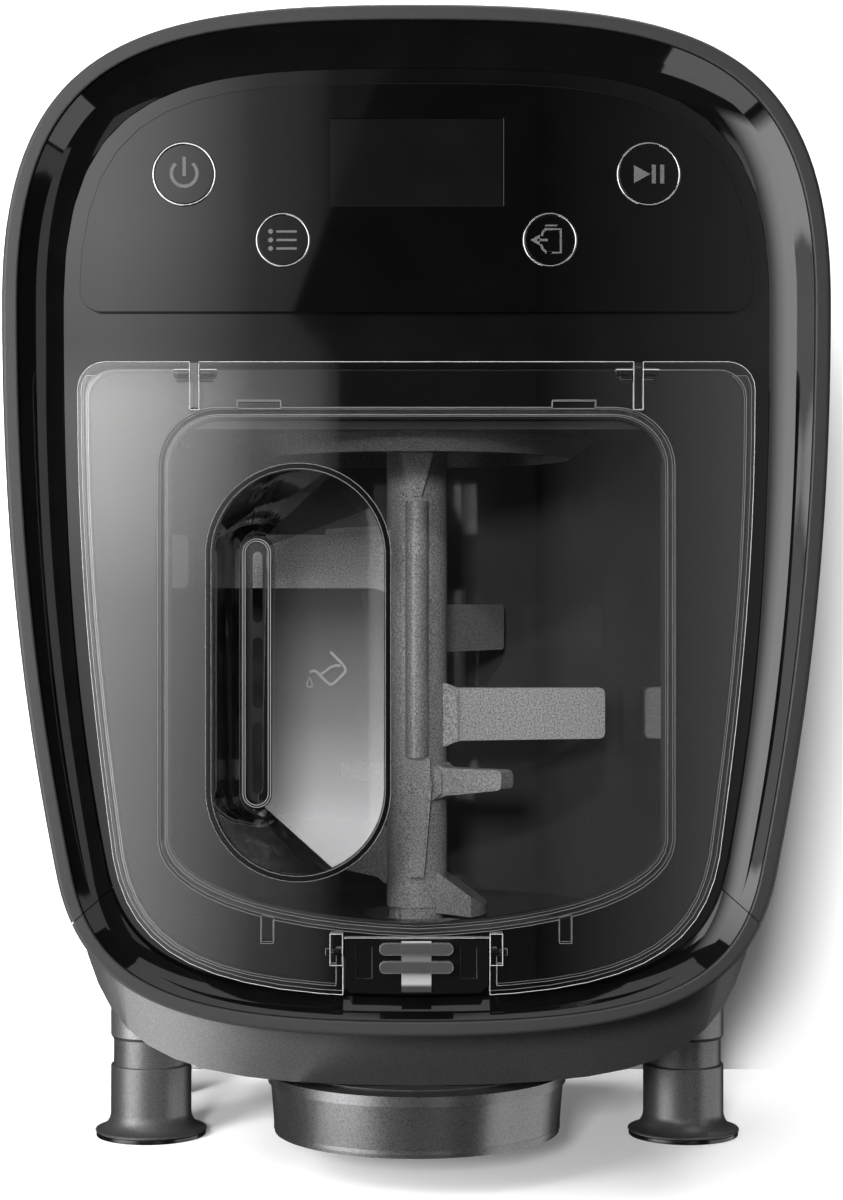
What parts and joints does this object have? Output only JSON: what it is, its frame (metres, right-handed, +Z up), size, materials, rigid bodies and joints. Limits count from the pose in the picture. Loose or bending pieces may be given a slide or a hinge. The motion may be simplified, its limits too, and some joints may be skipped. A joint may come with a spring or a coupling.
{
  "type": "electric pasta maker",
  "caption": "Upright electric pasta maker: a paddle kneads in a chamber behind a clear hinged lid and a screw presses the dough down through a shaping disc.",
  "frame": {"origin": "middle of the bounding box at the level of the soles", "axes": "+X to the right seen from the front, +Y from the face into the machine, +Z up"},
  "size_m": [0.2274, 0.236, 0.3367],
  "materials": {
    "painted_grey": "metallic grey paint, fine grain",
    "matt_rim": "fine grained matt dark grey",
    "gloss_black": "high gloss black",
    "black_glass": "high gloss black panel",
    "chrome": "bright chrome",
    "clear_plastic": "clear, polished",
    "smoke_plastic": "smoked, polished",
    "cast_aluminium": "cast, fine grained",
    "steel": "turned or rolled steel",
    "rubber": "black rubber",
    "grey_silicone": "soft silicone",
    "nylon": "natural nylon",
    "white_plastic": "translucent white plastic",
    "circuit_green": "lacquered circuit board",
    "chamber_grey": "smooth dark grey",
    "copper": "lacquered copper winding on a steel shaft"
  },
  "bodies": {
    "machine": {"main_housing": "painted_grey", "rear_cover": "matt_rim", "front_frame": "matt_rim", "bezel": "gloss_black", "deck": "gloss_black", "control_panel": "black_glass", "display_window": "black_glass", "display_module": "circuit_green", "button_rings": "chrome", "control_board": "circuit_green", "button_switches": "white_plastic", "hinge_pins": "steel", "lid_switch": "matt_rim", "mixing_chamber": "chamber_grey", "chamber_hub": "cast_aluminium", "shaft_seal": "rubber", "extrusion_barrel": "chamber_grey", "shaping_disc": "nylon", "gear_axle": "steel", "bearings": "steel", "gearbox_plate": "cast_aluminium", "gearbox_cover": "chamber_grey", "gearbox_screws": "steel", "motor_case": "steel", "power_board": "circuit_green", "mains_inlet": "matt_rim", "front_legs": "painted_grey", "leg_gaskets": "rubber", "leg_sleeves": "painted_grey", "front_soles": "rubber", "rear_feet": "matt_rim", "rear_soles": "rubber", "back_pads": "rubber", "cover_screws": "steel"},
    "front_panel": {"front_panel": "matt_rim", "front_panel_bezel": "gloss_black"},
    "lid": {"lid": "clear_plastic", "lid_seal": "grey_silicone", "pour_tray": "smoke_plastic", "tray_trim": "gloss_black", "latch_pins": "steel"},
    "latch": {"latch_lever": "smoke_plastic", "latch_grips": "white_plastic", "latch_strip": "steel"},
    "mixer": {"paddle": "cast_aluminium", "extrusion_screw": "cast_aluminium", "drive_shaft": "steel", "output_gear": "nylon"},
    "layshaft": {"compound_gear": "nylon"},
    "motor_shaft": {"motor_rotor": "copper", "motor_pinion": "steel", "cooling_fan": "matt_rim"},
    "nut": {"nozzle_nut": "painted_grey"},
    "power_button": {"power_button": "black_glass"},
    "menu_button": {"menu_button": "black_glass"},
    "play_button": {"play_button": "black_glass"},
    "extrude_button": {"extrude_button": "black_glass"}
  },
  "joints": [
    {"name": "mixer_spin", "type": "hinge", "parent": "machine", "child": "mixer", "pos_m": [0, -0.04, 0.15], "axis": [0, 0, 1], "continuous": true},
    {"name": "layshaft_spin", "type": "hinge", "parent": "machine", "child": "layshaft", "pos_m": [0, 0.012, 0.245], "axis": [0, 0, 1], "continuous": true},
    {"name": "motor_spin", "type": "hinge", "parent": "machine", "child": "motor_shaft", "pos_m": [0, 0.057, 0.2], "axis": [0, 0, 1], "continuous": true},
    {"name": "lid_hinge", "type": "hinge", "parent": "machine", "child": "lid", "pos_m": [0, -0.1117, 0.236], "axis": [-1, 0, 0], "range_deg": [0, 95]},
    {"name": "latch_tilt", "type": "hinge", "parent": "lid", "child": "latch", "pos_m": [0, -0.1129, 0.0764], "axis": [-1, 0, 0], "range_deg": [0, 12], "stiffness_Nm_per_rad": 0.12},
    {"name": "nut_turn", "type": "hinge", "parent": "machine", "child": "nut", "pos_m": [0, -0.04, 0.02], "axis": [0, 0, 1], "range_deg": [0, 75]},
    {"name": "front_panel_slide", "type": "slide", "parent": "machine", "child": "front_panel", "axis": [0, -1, 0], "range_m": [0, 0.03]},
    {"name": "power_button_press", "type": "slide", "parent": "machine", "child": "power_button", "axis": [0, 1, 0], "range_m": [0, 0.001], "stiffness_N_per_m": 600},
    {"name": "menu_button_press", "type": "slide", "parent": "machine", "child": "menu_button", "axis": [0, 1, 0], "range_m": [0, 0.001], "stiffness_N_per_m": 600},
    {"name": "play_button_press", "type": "slide", "parent": "machine", "child": "play_button", "axis": [0, 1, 0], "range_m": [0, 0.001], "stiffness_N_per_m": 600},
    {"name": "extrude_button_press", "type": "slide", "parent": "machine", "child": "extrude_button", "axis": [0, 1, 0], "range_m": [0, 0.001], "stiffness_N_per_m": 600}
  ],
  "couplings": [
    {"joint": "layshaft_spin", "follows": "mixer_spin", "ratio": -3.3333},
    {"joint": "motor_spin", "follows": "mixer_spin", "ratio": 16.667}
  ]
}
